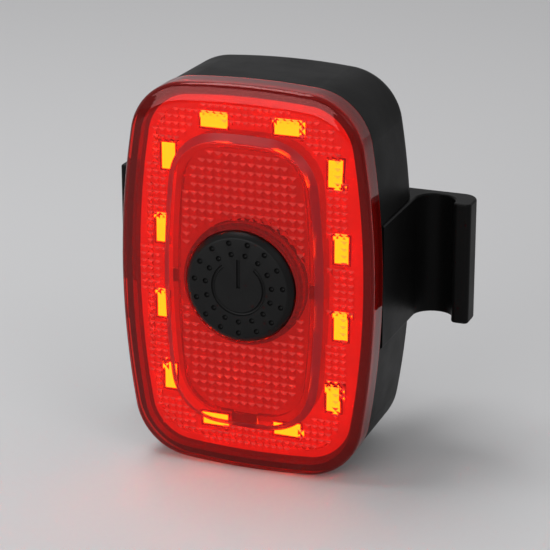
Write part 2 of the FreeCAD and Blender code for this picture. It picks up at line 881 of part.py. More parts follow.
def make_strap_bracket():
    section = bracket_half_section()
    section.translate(vec(0, 0, -bracket_half_height))
    half = section.extrude(vec(0, 0, 2 * bracket_half_height))
    bracket = joined(mirrored(half))
    bracket = bracket.makeFillet(bracket_edge_round, bracket_outer_edges(bracket))
    pocket_x, pocket_z = pad_half_width + pad_gap, pad_half_height + pad_gap
    cuts = [block(-pocket_x, pocket_x, pad_floor_y, bracket_back_y, -pocket_z, pocket_z)]
    for x, z in four_places(screw_x, screw_z):
        cuts.append(rod(screw_radius + screw_fit, housing_back_y, bracket_back_y, x, z))
        cuts.append(rod(screw_head_radius + screw_head_gap, screw_seat_y, bracket_back_y, x, z))
    return bracket.cut(cuts)


def make_bracket_screws():
    screws = []
    top = screw_seat_y + screw_head_height
    long, wide, deep = screw_socket
    for x, z in four_places(screw_x, screw_z):
        head = rod(screw_head_radius, screw_seat_y, top, x, z)
        cross = [centred_block((long, deep, wide), x, top - deep, z),
                 centred_block((wide, deep, long), x, top - deep, z)]
        shank = rod(screw_radius, screw_tip_y, screw_seat_y, x, z)
        screws.append(head.cut(cross).fuse(shank).removeSplitter())
    return Part.makeCompound(screws)


def make_saddle_pad():
    pad = block(-pad_half_width, pad_half_width, pad_floor_y, saddle_tip_y, -pad_half_height,
                pad_half_height)
    post = Part.makeCylinder(post_bore_radius, 2 * pad_half_height,
                             vec(0, saddle_y + post_bore_radius, -pad_half_height))
    pad = pad.cut(post)
    reach = pad_half_width - same_place
    tips = [e for e in pad.Edges if e.BoundBox.ZLength > pad_half_height
            and max(abs(e.BoundBox.XMin), abs(e.BoundBox.XMax)) > reach
            and e.BoundBox.YMin > saddle_y]
    pad = pad.makeFillet(pad_tip_round, tips)
    return pad.cut([Part.makeCylinder(post_bore_radius + grip_groove_deep, grip_groove_wide,
                                      vec(0, saddle_y + post_bore_radius, z - grip_groove_wide / 2))
                    for z in spread(grip_groove_count, grip_groove_pitch)])


def build_pieces():
    return {
        "front_lens": make_front_lens(),
        "lens_gasket": make_gasket(),
        "rear_housing": make_rear_housing(),
        "strap_bracket": make_strap_bracket(),
        "bracket_screws": make_bracket_screws(),
        "saddle_pad": make_saddle_pad(),
        "button_cap": make_button_cap(),
        "button_plunger": make_button_plunger(),
        "button_retainer": make_button_retainer(),
        "switch_body": make_switch_body(),
        "switch_cover": make_switch_cover(),
        "switch_stem": make_switch_stem(),
        "switch_legs": make_switch_legs(),
        "reflector_plate": make_reflector_plate(),
        "led_packages": make_led_packages(),
        "led_phosphor": make_led_phosphor(),
        "main_board": make_main_board(),
        "chip_resistors": make_chip_resistors(),
        "chip_capacitors": make_chip_capacitors(),
        "driver_chip": make_driver_chip(),
        "driver_legs": make_driver_legs(),
        "battery_socket": make_battery_socket(),
        "battery_lead_red": make_battery_lead(-lead_x),
        "battery_lead_black": make_battery_lead(lead_x),
        "battery_guard_board": make_battery_guard(),
        "battery_cell": make_battery_cell(),
        "battery_foam": make_battery_foam(),
        "charge_board": make_charge_board(),
        "charge_chip": make_charge_chip(),
        "charge_board_screws": make_charge_screws(),
        "board_connector": make_header_bodies(),
        "board_connector_pins": make_header_pins(),
        "usb_shell": make_usb_shell(),
        "usb_tongue": make_usb_tongue(),
        "port_cover": make_port_cover(),
        "port_cover_root": make_port_cover_root(),
    }


def main():
    os.makedirs("parts", exist_ok=True)
    to_origin = vec(0, -(button_y + saddle_tip_y) / 2, half_height)
    for name, shape in build_pieces().items():
        shape.translate(to_origin)
        shape.exportStep(os.path.join("parts", name + ".step"))
        print(name, len(shape.Solids), round(shape.Volume, 2), shape.isValid())
    print("origin shift", [round(c, 4) for c in to_origin])


main()
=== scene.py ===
import math

import bmesh
import bpy
from mathutils import Matrix, Vector
from mathutils.geometry import delaunay_2d_cdt


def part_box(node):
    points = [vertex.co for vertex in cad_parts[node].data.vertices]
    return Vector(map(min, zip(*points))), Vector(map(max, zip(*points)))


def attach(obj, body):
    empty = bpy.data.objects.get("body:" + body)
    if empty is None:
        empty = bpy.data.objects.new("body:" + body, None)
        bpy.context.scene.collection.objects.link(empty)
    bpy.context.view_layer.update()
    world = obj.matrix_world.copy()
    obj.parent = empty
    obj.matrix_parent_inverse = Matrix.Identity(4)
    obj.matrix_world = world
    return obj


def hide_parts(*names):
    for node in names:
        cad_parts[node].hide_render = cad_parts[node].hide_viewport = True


bl_info = {
    "name": "Bicycle rear light",
    "version": (1, 0, 0),
    "blender": (4, 5, 0),
    "location": "View3D > Sidebar > Rear light",
    "description": "Builds the lens, button, casing and stage of a small bicycle rear light",
    "category": "Object",
}

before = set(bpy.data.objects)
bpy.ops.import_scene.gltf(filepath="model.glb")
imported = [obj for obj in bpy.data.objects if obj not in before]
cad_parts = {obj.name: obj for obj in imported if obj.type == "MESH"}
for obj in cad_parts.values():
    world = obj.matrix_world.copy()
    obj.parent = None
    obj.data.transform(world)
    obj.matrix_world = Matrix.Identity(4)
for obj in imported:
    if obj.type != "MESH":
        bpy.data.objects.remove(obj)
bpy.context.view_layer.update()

# Lengths are in metres. X runs to the viewer's right, Y back through the light, Z up.
# Points nearer to each other than weld are one, and keep_inside tells Blender's triangle
# maker to fill only what the loops enclose.
mm = 0.001
weld = 1e-6
keep_inside = 1

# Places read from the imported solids
lens_low, lens_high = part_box("front_lens")
half_width = lens_high.x
mid_z = (lens_low.z + lens_high.z) / 2
half_height = lens_high.z - mid_z
seam_y = lens_high.y
window_y = lens_low.y
plate_low, plate_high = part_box("reflector_plate")
button_low, button_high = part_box("button_cap")

# Outline of the lit face: side, end and corner arcs that meet as tangents
side_radius = 127.0 * mm
end_radius = 109.0 * mm
corner_radius = 8.9 * mm
side_steps = 22
end_steps = 16
corner_steps = 26
circle_steps = 128

# Front lens: its walls, the skirt in front of the seam, and the bevel up to the flat ring
skirt_wall = 1.7 * mm
face_wall = 1.5 * mm
skirt_depth = 4.05 * mm
bevel_width = 3.3 * mm
bevel_rise = 0.6 * mm
bevel_bulge = 0.1 * mm
bevel_steps = 14
rim_round = 0.85 * mm
rim_steps = 18
lens_crease = 5.0

# Raised window
window_half_width = 11.0 * mm
window_half_height = 20.9 * mm
window_side_radius = 130.0 * mm
window_end_radius = 62.0 * mm
window_corner = 6.6 * mm
window_slope = 1.1 * mm
window_wall = 1.0 * mm
window_edge_round = 0.3 * mm
window_edge_steps = 8

# Notches behind the ring, beside the window's inner wall, into which they lap
notch_long = 3.9 * mm
notch_side_long = 2.0 * mm
notch_wide = 1.9 * mm
notch_side_wide = 0.9 * mm
notch_depth = 0.5 * mm
notch_lap = 0.4 * mm

# Bore for the button, and the collar that guides it
bore_gap = 0.2 * mm
collar_wall = 0.7 * mm

# Prisms: their distance from collar and rim, and how far up a side faces before it gets the painted
# highlight
prism_margin = 0.05 * mm
ring_prism_inset = 2.9 * mm
highlight_lean = 0.1

# Button cap; its soft corner is given as shares of the edge's radius from the sharp corner
button_face_wall = 1.3 * mm
button_side_wall = 1.3 * mm
button_chamfer = 0.75 * mm
button_edge_round = 0.2 * mm
button_face_middle = 1.0 * mm
soft_corner = ((-1.0, 0.0), (-0.3, 0.12), (0.5, 0.5))
flange_width = 0.8 * mm
flange_thick = 0.8 * mm
outer_dimple_ring = 6.73 * mm
inner_dimple_ring = 5.05 * mm
dimple_divisions = 2
sign_arc_steps = 72
groove_sides = 12
button_crease = 25.0

# Reflector plate with the lip that seats on the housing's tongue
plate_thick = 0.8 * mm
plate_inset = 2.97 * mm
plate_hole_radius = 5.3 * mm
plate_hole_steps = 48
lip_inset = 1.82 * mm
lip_thick = 0.4 * mm
lip_wall = 0.5 * mm
lip_painted_glow_inset = 2.4 * mm
# How far past the window the plate's painted shade reaches
dim_margin = 0.9 * mm
diode_gap = 0.15 * mm
plate_crease = 30.0

face_shape = (half_width, half_height, side_radius, end_radius, corner_radius)
window_shape = (window_half_width, window_half_height, window_side_radius,
                window_end_radius, window_corner)

rim_y = seam_y - skirt_depth
ring_y = rim_y - bevel_rise
ring_back_y = ring_y + face_wall
window_back_y = window_y + face_wall
flange_radius = button_high.x
button_radius = flange_radius - flange_width - bore_gap
bore_radius = button_radius + bore_gap
collar_outer = bore_radius + collar_wall
collar_back_y = button_high.y - flange_thick
plate_face_y = plate_high.y - plate_thick

# Order of the plate's finishes: painted glow, painted shade with weaker glow, painted dark rim
painted_glow_finish, painted_shade_and_glow_finish, painted_dark_rim_finish = range(3)

# Finishes: how the lens bends light, and the values that most of a noise lies between
lens_ior = 1.46
noise_low, noise_high = 0.3, 0.7
unstretched = (1.0, 1.0, 1.0)

# Camera: it stands round to the right and above, and aims at a point just off the middle
view_azimuth = math.radians(21.0)
view_elevation = math.radians(19.7)
view_distance = 0.344
view_lens = 157.6
view_sensor = 36.0
view_near, view_far = 0.01, 20.0
aim_right = 3.44 * mm
aim_up = 0.37 * mm
aim_depth = 1.7 * mm

# Floor and soft boxes: place from the light's middle, width and height
floor_half = 3.0
overhead_box = ((-0.14, 0.02, 0.43), 0.3, 0.16)
side_box = ((0.45, -0.32, 0.42), 0.3, 0.3)
front_box = ((-0.16, -0.43, 0.1), 0.36, 0.2)
air_strength = 0.8


class LensSettings(bpy.types.PropertyGroup):
    """Sizes of the prism pattern and colour of the lens"""

    ring_pitch: bpy.props.FloatProperty(
        name="Ring prism pitch", description="Width of one prism before the diodes",
        default=1.05 * mm, min=0.6 * mm, unit="LENGTH", subtype="DISTANCE", precision=5)
    window_pitch: bpy.props.FloatProperty(
        name="Window prism pitch", description="Width of one prism behind the window",
        default=1.24 * mm, min=0.6 * mm, unit="LENGTH", subtype="DISTANCE", precision=5)
    prism_height: bpy.props.FloatProperty(
        name="Prism height", description="How far each prism stands out behind the lens",
        default=0.16 * mm, min=0.0, unit="LENGTH", subtype="DISTANCE", precision=5)
    colour: bpy.props.FloatVectorProperty(
        name="Lens colour", description="Colour that the lens gives to light",
        default=(0.84, 0.02, 0.013), subtype="COLOR", size=3, min=0.0, max=1.0)
    clearness: bpy.props.FloatProperty(
        name="Clearness", description="Share of light that goes through the plastic unscattered",
        default=0.88, min=0.0, max=1.0, subtype="FACTOR")


class GlowSettings(bpy.types.PropertyGroup):
    """Strength and colour of the diodes' light and of the painted glow behind the lens"""

    # The plate's glow is painted light: the diodes' light on it, painted as its own emission
    painted_glow_colour: bpy.props.FloatVectorProperty(
        name="Plate glow colour", description="Colour in which the plate shines",
        default=(1.0, 0.55, 0.45), subtype="COLOR", size=3, min=0.0, max=1.0)
    ring: bpy.props.FloatProperty(
        name="Ring glow", description="Glow of the plate round the diodes",
        default=0.37, min=0.0)
    # The middle's weaker glow, with its greyer base, is painted shade behind the window
    middle: bpy.props.FloatProperty(
        name="Middle glow", description="Glow of the plate behind the window",
        default=0.2, min=0.0)
    # Painted red glow on the wall that guides the button
    collar: bpy.props.FloatProperty(
        name="Collar glow", description="Glow of the wall that guides the button",
        default=0.1, min=0.0)
    # Painted highlight on the upper sides of the prisms
    facet: bpy.props.FloatProperty(
        name="Facet gleam", description="Light that the upper side of each prism catches",
        default=0.23, min=0.0)
    diode_colour: bpy.props.FloatVectorProperty(
        name="Diode colour", description="Colour of the diodes' light before the lens",
        default=(0.86, 0.98, 0.02), subtype="COLOR", size=3, min=0.0, max=1.0)
    diode: bpy.props.FloatProperty(
        name="Diode glow", description="Strength of the diodes", default=100.0, min=0.0)


class ButtonSettings(bpy.types.PropertyGroup):
    """Sizes of the marks on the button"""

    dimple_count: bpy.props.IntProperty(
        name="Dimples in a ring", description="Number of dimples in each of the two rings",
        default=15, min=3)
    dimple_radius: bpy.props.FloatProperty(
        name="Dimple radius", description="Radius of one dimple at the face",
        default=0.42 * mm, min=0.1 * mm, unit="LENGTH", subtype="DISTANCE", precision=5)
    mark_radius: bpy.props.FloatProperty(
        name="Switch ring radius", description="Radius of the open ring of the switch sign",
        default=3.85 * mm, min=1.0 * mm, unit="LENGTH", subtype="DISTANCE", precision=5)
    mark_bar: bpy.props.FloatProperty(
        name="Switch bar", description="How far the bar of the switch sign runs up from the middle",
        default=4.25 * mm, min=1.0 * mm, unit="LENGTH", subtype="DISTANCE", precision=5)
    mark_groove: bpy.props.FloatProperty(
        name="Groove radius", description="Radius of the round groove of the switch sign",
        default=0.28 * mm, min=0.05 * mm, unit="LENGTH", subtype="DISTANCE", precision=5)
    mark_gap: bpy.props.FloatProperty(
        name="Gap half angle", description="Half of the gap at the top of the ring",
        default=math.radians(38.0), unit="ROTATION", subtype="ANGLE")


class StageSettings(bpy.types.PropertyGroup):
    """Colour of the floor and strength of the lights"""

    floor: bpy.props.FloatVectorProperty(
        name="Floor colour", description="Colour of the floor and the air behind it",
        default=(0.62, 0.62, 0.63), subtype="COLOR", size=3, min=0.0, max=1.0)
    overhead: bpy.props.FloatProperty(
        name="Overhead light", description="Power of the soft box above", default=1.0,
        min=0.0, unit="POWER")
    front: bpy.props.FloatProperty(
        name="Front light", description="Power of the soft box at the front left", default=0.8,
        min=0.0, unit="POWER")
    side: bpy.props.FloatProperty(
        name="Side light", description="Power of the soft box at the side", default=0.4,
        min=0.0, unit="POWER")
    fill: bpy.props.FloatProperty(
        name="Fill light", description="Strength of the even light from all round", default=0.4,
        min=0.0)


# Outlines


def corner_centre(shape):
    """Centre of the corner arc that touches the end arc and the side arc from inside."""
    half_w, half_h, side_r, end_r, corner_r = shape
    end_z, side_x = half_h - end_r, half_w - side_r
    to_end, to_side = end_r - corner_r, side_r - corner_r
    gap = math.hypot(side_x, end_z)
    along = (to_end ** 2 - to_side ** 2 + gap ** 2) / (2 * gap)
    across = math.sqrt(to_end ** 2 - along ** 2)
    ux, uz = side_x / gap, -end_z / gap
    return along * ux + across * uz, end_z + along * uz - across * ux


def arc_points(centre, radius, start, end, steps):
    """Points on an arc from one angle to another, without the last."""
    turn = (end - start) / steps
    return [(centre[0] + radius * math.cos(start + n * turn),
             centre[1] + radius * math.sin(start + n * turn)) for n in range(steps)]


def outline(shape, inset):
    """Closed loop of points round the eight tangent arcs, drawn in by inset."""
    half_w, half_h, side_r, end_r, corner_r = shape
    cx, cz = corner_centre(shape)
    end_z, side_x = half_h - end_r, half_w - side_r
    low = math.atan2(cz, cx - side_x)
    high = math.atan2(cz - end_z, cx)
    half_turn, full_turn = math.pi, 2 * math.pi
    arcs = [
        ((cx, cz), corner_r, low, high, corner_steps),
        ((0.0, end_z), end_r, high, half_turn - high, end_steps),
        ((-cx, cz), corner_r, half_turn - high, half_turn - low, corner_steps),
        ((-side_x, 0.0), side_r, half_turn - low, half_turn + low, side_steps),
        ((-cx, -cz), corner_r, half_turn + low, half_turn + high, corner_steps),
        ((0.0, -end_z), end_r, half_turn + high, full_turn - high, end_steps),
        ((cx, -cz), corner_r, full_turn - high, full_turn - low, corner_steps),
        ((side_x, 0.0), side_r, -low, low, side_steps),
    ]
    points = []
    for centre, radius, start, end, steps in arcs:
        points += arc_points(centre, radius - inset, start, end, steps)
    return points


def face_loop(inset=0.0):
    """Outline of the lit face, drawn in by inset."""
    return outline(face_shape, inset)


def window_loop(inset):
    """Outline of the raised window, drawn in by inset."""
    return outline(window_shape, inset)


def circle(radius, steps=circle_steps):
    """Closed loop of points round the button's axis."""
    return arc_points((0.0, 0.0), radius, 0.0, 2 * math.pi, steps)


def inside(point, loop):
    """True where the point lies within the closed loop."""
    x, z = point
    within = False
    for (ax, az), (bx, bz) in zip(loop, loop[1:] + loop[:1]):
        if (az > z) != (bz > z) and x < (bx - ax) * (z - az) / (bz - az) + ax:
            within = not within
    return within


# Meshes


def new_object(name, data):
    """Object in the scene, at the origin."""
    piece = bpy.data.objects.new(name, data)
    bpy.context.scene.collection.objects.link(piece)
    return piece


def finished_mesh(bm, name):
    """Mesh of a closed form, welded and with its faces turned outwards."""
    bmesh.ops.remove_doubles(bm, verts=bm.verts, dist=weld)
    bmesh.ops.recalc_face_normals(bm, faces=bm.faces)
    mesh = bpy.data.meshes.new(name)
    bm.to_mesh(mesh)
    bm.free()
    return mesh


def ring_of(bm, loop, y):
    """Vertices of a loop at depth y, round the light's middle."""
    return [bm.verts.new((x, y, z + mid_z)) for x, z in loop]


def rings_of(bm, loop_at, section):
    """Vertices of a loop at each point of a section, which holds insets or radii and depths."""
    return [ring_of(bm, loop_at(reach), y) for reach, y in section]


def bridge(bm, one, other):
    """Band of faces between two loops with the same number of points."""
    quads = zip(one, one[1:] + one[:1], other[1:] + other[:1], other)
    return [bm.faces.new(corners) for corners in quads]


def bridges(bm, rings):
    """Bands of faces from each loop to the next."""
    return [bridge(bm, one, other) for one, other in zip(rings, rings[1:])]


def sleeve(bm, loop, front_y, back_y):
    """Straight wall along one loop between two depths."""
    bridge(bm, ring_of(bm, loop, front_y), ring_of(bm, loop, back_y))


def flat_face(bm, y, outer, holes=(), cells=(), mark=None, painted_shade_zone=None):
    """Flat face at y between an outer loop and holes, with square cells kept whole.

    Cells get the mark layer's value 1. A painted shade zone loop cuts the face, and what lies in
    it gets the plate's middle finish, with its painted shade and weaker painted glow."""
    loops = [outer, *holes, *cells]
    if painted_shade_zone:
        loops.append(painted_shade_zone)
    points, edges = [], []
    for loop in loops:
        start, count = len(points), len(loop)
        points += [Vector(p) for p in loop]
        edges += [(start + n, start + (n + 1) % count) for n in range(count)]
    found, _, triangles, *_ = delaunay_2d_cdt(points, edges, [], keep_inside, weld)
    verts = [bm.verts.new((p.x, y, p.y + mid_z)) for p in found]
    half = (cells[0][1][0] - cells[0][0][0]) / 2 if cells else 0.0
    grid = cell_grid(cells, 2 * half)
    for triangle in triangles:
        px = sum(found[i].x for i in triangle) / len(triangle)
        pz = sum(found[i].y for i in triangle) / len(triangle)
        if not inside((px, pz), outer) or any(inside((px, pz), h) for h in holes):
            continue
        if half and in_a_cell(px, pz, grid, half):
            continue
        face = bm.faces.new([verts[i] for i in triangle])
        if painted_shade_zone and inside((px, pz), painted_shade_zone):
            face.material_index = painted_shade_and_glow_finish
    for cell in cells:
        bm.faces.new(ring_of(bm, cell, y))[mark] = 1


def cell_grid(cells, width):
    """Middles of the square cells, sorted into the squares of a coarse grid."""
    grid = {}
    for cell in cells:
        x, z = sum(p[0] for p in cell) / len(cell), sum(p[1] for p in cell) / len(cell)
        grid.setdefault((math.floor(x / width), math.floor(z / width)), []).append((x, z))
    return grid


def in_a_cell(x, z, grid, half):
    """True where a point lies within one of the square cells."""
    column, row = math.floor(x / (2 * half)), math.floor(z / (2 * half))
    for near_column in (column - 1, column, column + 1):
        for near_row in (row - 1, row, row + 1):
            for cx, cz in grid.get((near_column, near_row), ()):
                if abs(x - cx) < half and abs(z - cz) < half:
                    return True
    return False


def crease(mesh, degrees):
    """Smooth shading, with edges kept sharp where the surface turns by more than that."""
    mesh.shade_smooth()
    mesh.set_sharp_from_angle(angle=math.radians(degrees))


def baked(piece):
    """Applies the piece's modifiers, so that it is a plain mesh."""
    graph = bpy.context.evaluated_depsgraph_get()
    mesh = bpy.data.meshes.new_from_object(piece.evaluated_get(graph))
    old = piece.data
    piece.modifiers.clear()
    piece.data = mesh
    bpy.data.meshes.remove(old)
    mesh.name = piece.name


def cut(piece, tool):
    """Takes the tool's form out of the piece, and removes the tool."""
    step = piece.modifiers.new("cut", "BOOLEAN")
    step.operation = "DIFFERENCE"
    step.solver = "EXACT"
    step.object = tool
    step.material_mode = "TRANSFER"
    baked(piece)
    mesh = tool.data
    bpy.data.objects.remove(tool)
    bpy.data.meshes.remove(mesh)


def block(name, x0, x1, y0, y1, z0, z1):
    """Plain block between three pairs of limits, as a tool that cuts."""
    bm = bmesh.new()
    bmesh.ops.create_cube(bm, size=1.0)
    size = Vector((x1 - x0, y1 - y0, z1 - z0))
    centre = Vector((x1 + x0, y1 + y0, z1 + z0)) / 2
    bmesh.ops.transform(bm, matrix=Matrix.LocRotScale(centre, None, size), verts=bm.verts)
    return new_object(name, finished_mesh(bm, name))


def place(piece, body, node):
    """Sets the piece on its body, in place of its solid."""
    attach(piece, body)
    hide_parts(node)


def dress(node, material):
    """Gives a solid that is shown as it is its finish."""
    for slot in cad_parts[node].material_slots:
        slot.link = "OBJECT"
        slot.material = material


# Nodes


def add_node(tree, kind, inputs=None, **settings):
    """New node; each of its inputs takes a value or another node's output."""
    node = tree.nodes.new(kind)
    for name, value in settings.items():
        setattr(node, name, value)
    for name, value in (inputs or {}).items():
        if isinstance(value, bpy.types.NodeSocket):
            tree.links.new(value, node.inputs[name])
        else:
            node.inputs[name].default_value = value
    return node


def maths(tree, operation, *values):
    """Result of a maths node, from numbers and other nodes' outputs."""
    node = add_node(tree, "ShaderNodeMath", dict(enumerate(values)), operation=operation)
    return node.outputs["Value"]


def shape_tree(name, kinds):
    """Empty geometry tree with named inputs, their identifiers, and its two end nodes."""
    tree = bpy.data.node_groups.new(name, "GeometryNodeTree")
    interface = tree.interface
    interface.new_socket("Geometry", in_out="INPUT", socket_type="NodeSocketGeometry")
    sockets = {label: interface.new_socket(label, in_out="INPUT", socket_type=kind).identifier
               for label, kind in kinds.items()}
    interface.new_socket("Geometry", in_out="OUTPUT", socket_type="NodeSocketGeometry")
    return tree, sockets, add_node(tree, "NodeGroupInput"), add_node(tree, "NodeGroupOutput")


def run_tree(piece, tree, sockets, values):
    """Runs a geometry tree on the piece with these inputs, and leaves a plain mesh."""
    step = piece.modifiers.new(tree.name, "NODES")
    step.node_group = tree
    for label, value in values.items():
        step[sockets[label]] = value
    baked(piece)


# Materials


def finish_named(name, colour, roughness, metallic=0.0, **sockets):
    """Material with one shader, whose even values sit on its own sockets."""
    material = bpy.data.materials.new(name)
    material.use_nodes = True
    shader = material.node_tree.nodes["Principled BSDF"]
    shader.inputs["Base Color"].default_value = (*colour, 1.0)
    shader.inputs["Roughness"].default_value = roughness
    shader.inputs["Metallic"].default_value = metallic
    for socket, value in sockets.items():
        shader.inputs[socket.replace("_", " ")].default_value = value
    return material


def drive(material, socket, output):
    """Lets a node's output drive one socket of the shader."""
    tree = material.node_tree
    tree.links.new(output, tree.nodes["Principled BSDF"].inputs[socket])
    return material


def object_place(material, stretch=unstretched):
    """Object coordinates, stretched per axis."""
    tree = material.node_tree
    coordinates = add_node(tree, "ShaderNodeTexCoord")
    mapping = add_node(tree, "ShaderNodeMapping",
                       {"Vector": coordinates.outputs["Object"], "Scale": stretch})
    return mapping.outputs["Vector"]


def noise(material, size, detail=3.0, stretch=unstretched):
    """Noise whose spots are about the given size across."""
    texture = add_node(material.node_tree, "ShaderNodeTexNoise", {
        "Vector": object_place(material, stretch), "Scale": 1.0 / size, "Detail": detail})
    return texture.outputs["Fac"]


def grained(material, size, depth, strength=1.0, detail=3.0, stretch=unstretched):
    """Fine moulded or cast grain in the surface."""
    bump = add_node(material.node_tree, "ShaderNodeBump", {
        "Height": noise(material, size, detail, stretch), "Distance": depth,
        "Strength": strength})
    return drive(material, "Normal", bump.outputs["Normal"])


def varied(material, size, low, high):
    """Lets the roughness drift between two values over the surface."""
    spread = add_node(material.node_tree, "ShaderNodeMapRange", {
        "Value": noise(material, size), "From Min": noise_low, "From Max": noise_high,
        "To Min": low, "To Max": high})
    return drive(material, "Roughness", spread.outputs["Result"])


def tinted(material, size, shade, drift):
    """Lets a grey drift over the surface, by a share of its shade each way."""
    ramp = add_node(material.node_tree, "ShaderNodeValToRGB", {"Fac": noise(material, size)})
    dark, light = shade * (1 - drift), shade * (1 + drift)
    low_end, high_end = ramp.color_ramp.elements
    low_end.position, low_end.color = noise_low, (dark, dark, dark, 1.0)
    high_end.position, high_end.color = noise_high, (light, light, light, 1.0)
    return drive(material, "Base Color", ramp.outputs["Color"])


def moulded_plastic(name, shade, roughness, grain=0.35 * mm, depth=0.012 * mm):
    """Black or grey plastic with the fine grain of its mould."""
    material = finish_named(name, (shade, shade, shade), roughness, Specular_IOR_Level=0.06)
    tinted(material, 9 * mm, shade, drift=0.15)
    varied(material, 6 * mm, low=roughness - 0.04, high=roughness + 0.05)
    return grained(material, grain, depth)


def soft_rubber(name, shade, roughness, grain=0.25 * mm, depth=0.02 * mm):
    """Rubber with a dull skin and a faint sheen."""
    material = finish_named(name, (shade, shade, shade), roughness, Specular_IOR_Level=0.15,
                            Sheen_Weight=0.02, Sheen_Roughness=0.4)
    tinted(material, 5 * mm, shade, drift=0.2)
    varied(material, 4 * mm, low=roughness - 0.05, high=roughness + 0.06)
    return grained(material, grain, depth)


def worked_metal(name, colour, roughness):
    """Metal with fine drawn lines."""
    material = finish_named(name, colour, roughness, metallic=1.0)
    varied(material, 1.5 * mm, low=roughness - 0.06, high=roughness + 0.08)
    return grained(material, 0.12 * mm, 0.004 * mm, stretch=(1.0, 1.0, 0.12))


def circuit_board(name):
    """Green board whose tracks show through the solder resist."""
    material = finish_named(name, (0.01, 0.10, 0.035), 0.35, Coat_Weight=0.3,
                            Coat_Roughness=0.15)
    tracks = add_node(material.node_tree, "ShaderNodeTexBrick", {
        "Vector": object_place(material), "Color1": (0.012, 0.13, 0.045, 1.0),
        "Color2": (0.010, 0.11, 0.038, 1.0), "Mortar": (0.02, 0.17, 0.06, 1.0),
        "Scale": 1.0 / (3 * mm), "Mortar Size": 0.05})
    drive(material, "Base Color", tracks.outputs["Color"])
    return grained(material, 0.8 * mm, 0.01 * mm)


def polished(material):
    """Gives clear plastic the faintest drift in its polish."""
    return grained(material, 6 * mm, 0.02 * mm, strength=0.15, detail=1.0)


def lens_material(colour, clearness):
    """Clear red plastic, smooth as its polished mould."""
    return polished(finish_named(
        "lens_red", colour, 0.0, IOR=lens_ior, Transmission_Weight=clearness,
        Specular_IOR_Level=0.3, Specular_Tint=(1.0, 0.4, 0.4, 1.0)))


def facet_highlight_material(colour, gleam):
    """Painted highlight on the upper side of a prism: a white glow standing in for the light from
    above
    """
    return polished(finish_named(
        "lens_facet_painted_highlight", colour, 0.0, IOR=lens_ior, Transmission_Weight=0.6,
        Emission_Strength=gleam, Emission_Color=(1.0, 1.0, 1.0, 1.0)))


def painted_glow_wall_material(strength):
    """Red plastic edge, darkened as painted shade, with a painted red glow for the light that runs
    along inside the lens
    """
    material = finish_named("lens_wall_painted_glow", (0.2, 0.005, 0.007), 0.25,
                            Emission_Strength=strength, Emission_Color=(1.0, 0.03, 0.03, 1.0))
    return grained(material, 0.5 * mm, 0.01 * mm)


def notch_material():
    """Shaded red of the notches beside the window."""
    material = finish_named("lens_notch", (0.2, 0.003, 0.003), 0.3, IOR=lens_ior,
                            Transmission_Weight=0.45)
    return grained(material, 0.3 * mm, 0.01 * mm)


def window_wall_material():
    """Slanted wall round the window, dulled by its mould."""
    material = finish_named("lens_window_wall", (0.42, 0.008, 0.012), 0.35, IOR=lens_ior,
                            Transmission_Weight=0.35, Specular_IOR_Level=0.3)
    varied(material, 3 * mm, low=0.3, high=0.4)
    return grained(material, 0.3 * mm, 0.01 * mm)


def plate_painted_glow_material(name, shade, colour, strength):
    """White or grey plate with painted glow: the light that falls on it is painted as its own even
    emission.
    """
    material = finish_named(name, (shade, shade, shade), 0.4, Emission_Strength=strength,
                            Emission_Color=(*colour, 1.0))
    return grained(material, 0.8 * mm, 0.02 * mm)


def phosphor_material(colour, strength):
    """Lit top of a diode."""
    material = finish_named("led_phosphor", (0.9, 0.6, 0.05), 0.5,
                            Emission_Strength=strength, Emission_Color=(*colour, 1.0))
    return grained(material, 0.4 * mm, 0.01 * mm)


def small_part_finishes():
    """Finishes of the small pieces inside, by the name of their slot."""
    return {
        "gasket_black": soft_rubber("gasket_black", 0.014, 0.6),
        "inner_plastic": moulded_plastic("inner_plastic", 0.03, 0.45),
        "screw_steel": worked_metal("screw_steel", (0.5, 0.5, 0.52), 0.3),
        "contact_metal": worked_metal("contact_metal", (0.85, 0.66, 0.36), 0.25),
        "port_steel": worked_metal("port_steel", (0.62, 0.62, 0.64), 0.28),
        "board_green": circuit_board("board_green"),
        "chip_black": moulded_plastic("chip_black", 0.02, 0.5, grain=0.15 * mm),
        "capacitor_tan": moulded_plastic("capacitor_tan", 0.3, 0.4, grain=0.3 * mm),
        "resistor_dark": moulded_plastic("resistor_dark", 0.025, 0.35, grain=0.3 * mm),
        "socket_cream": moulded_plastic("socket_cream", 0.62, 0.45),
        "lead_red": soft_rubber("lead_red", 0.3, 0.4),
        "lead_black": soft_rubber("lead_black", 0.015, 0.4),
        "cell_silver": worked_metal("cell_silver", (0.7, 0.7, 0.72), 0.35),
        "foam_grey": soft_rubber("foam_grey", 0.12, 0.9, grain=0.5 * mm, depth=0.15 * mm),
        "led_body": moulded_plastic("led_body", 0.7, 0.4, grain=0.3 * mm),
    }


# Lens


def prism_cells(pitch, outer, holes, keep_out, patches=()):
    """Square cells of the prism pattern that lie wholly within the loops and outside a circle.

    Cells whose middle lies in one of the patches stay flat."""
    columns = math.ceil(half_width / pitch)
    rows = math.ceil(half_height / pitch)
    fits = {}
    for i in range(-columns, columns + 1):
        for j in range(-rows, rows + 1):
            corner = ((i + 0.5) * pitch, (j + 0.5) * pitch)
            fits[i, j] = (math.hypot(*corner) > keep_out and inside(corner, outer)
                          and not any(inside(corner, hole) for hole in holes))
    cells = []
    for i, j in fits:
        corners = [(i, j), (i + 1, j), (i + 1, j + 1), (i, j + 1)]
        x, z = (i + 1) * pitch, (j + 1) * pitch
        clear = any(x0 < x < x1 and z0 < z < z1 for x0, x1, z0, z1 in patches)
        if not clear and all(fits.get(c, False) for c in corners):
            cells.append([((a + 0.5) * pitch, (b + 0.5) * pitch) for a, b in corners])
    return cells


